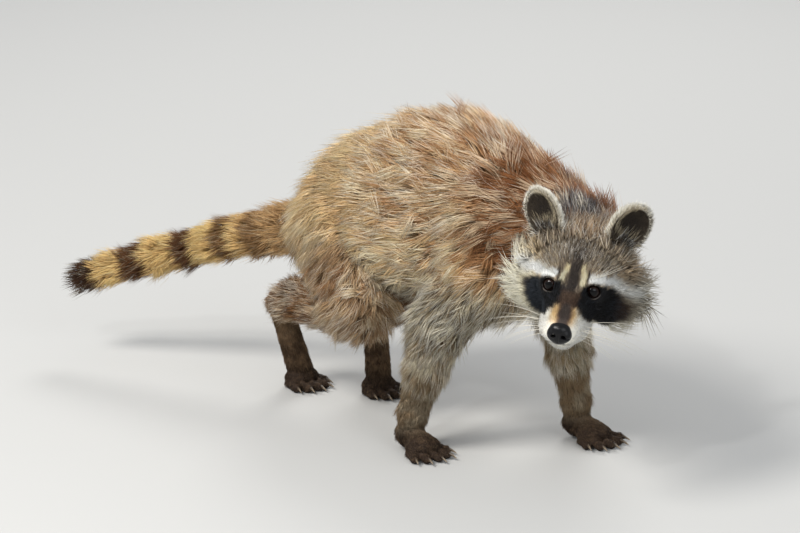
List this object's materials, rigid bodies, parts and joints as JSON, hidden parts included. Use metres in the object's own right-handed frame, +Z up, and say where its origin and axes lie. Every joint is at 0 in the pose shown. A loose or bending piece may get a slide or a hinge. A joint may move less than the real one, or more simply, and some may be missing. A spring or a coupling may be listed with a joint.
{
  "type": "raccoon",
  "caption": "Life-size still model of a raccoon in a slow stalking walk, head low and turned to its right, ringed tail swung out behind.",
  "frame": {"origin": "on the floor, at the middle of the box round the animal", "axes": "+X forward along the trunk, +Y to the animal's left, +Z up"},
  "size_m": [0.6696, 0.228, 0.2957],
  "materials": {
    "body_coat": "grizzled tan-brown fur, rust behind the head, pale guard hairs on flank and chest",
    "head_coat": "short grizzled grey-brown fur with black mask, white brows and white muzzle sides",
    "tail_coat": "bushy tan fur with dark brown rings and a dark tip",
    "paw_coat": "very short dark brown fur over leathery soles and toes",
    "nose_leather": "moist black pebbled leather",
    "eye": "wet glossy dark brown",
    "claw": "smooth dark horn, paler at the tip"
  },
  "bodies": {
    "root": {"forepaw_right_claw_1": "claw", "forepaw_right_claw_2": "claw", "forepaw_right_claw_3": "claw", "forepaw_right_claw_4": "claw", "forepaw_right_claw_5": "claw", "upper_arm_right": "body_coat", "forearm_right": "body_coat", "forepaw_right": "paw_coat", "forepaw_left_claw_1": "claw", "forepaw_left_claw_2": "claw", "forepaw_left_claw_3": "claw", "forepaw_left_claw_4": "claw", "forepaw_left_claw_5": "claw", "upper_arm_left": "body_coat", "forearm_left": "body_coat", "forepaw_left": "paw_coat", "hindpaw_right_claw_1": "claw", "hindpaw_right_claw_2": "claw", "hindpaw_right_claw_3": "claw", "hindpaw_right_claw_4": "claw", "hindpaw_right_claw_5": "claw", "thigh_right": "body_coat", "shank_right": "body_coat", "hindpaw_right": "paw_coat", "hindpaw_left_claw_1": "claw", "hindpaw_left_claw_2": "claw", "hindpaw_left_claw_3": "claw", "hindpaw_left_claw_4": "claw", "hindpaw_left_claw_5": "claw", "thigh_left": "body_coat", "shank_left": "body_coat", "hindpaw_left": "paw_coat", "eye_right": "eye", "eye_left": "eye", "nose": "nose_leather", "ear_right": "head_coat", "ear_left": "head_coat", "trunk": "body_coat", "neck": "head_coat", "head": "head_coat", "tail_base": "tail_coat", "tail_tip": "tail_coat"}
  },
  "joints": []
}
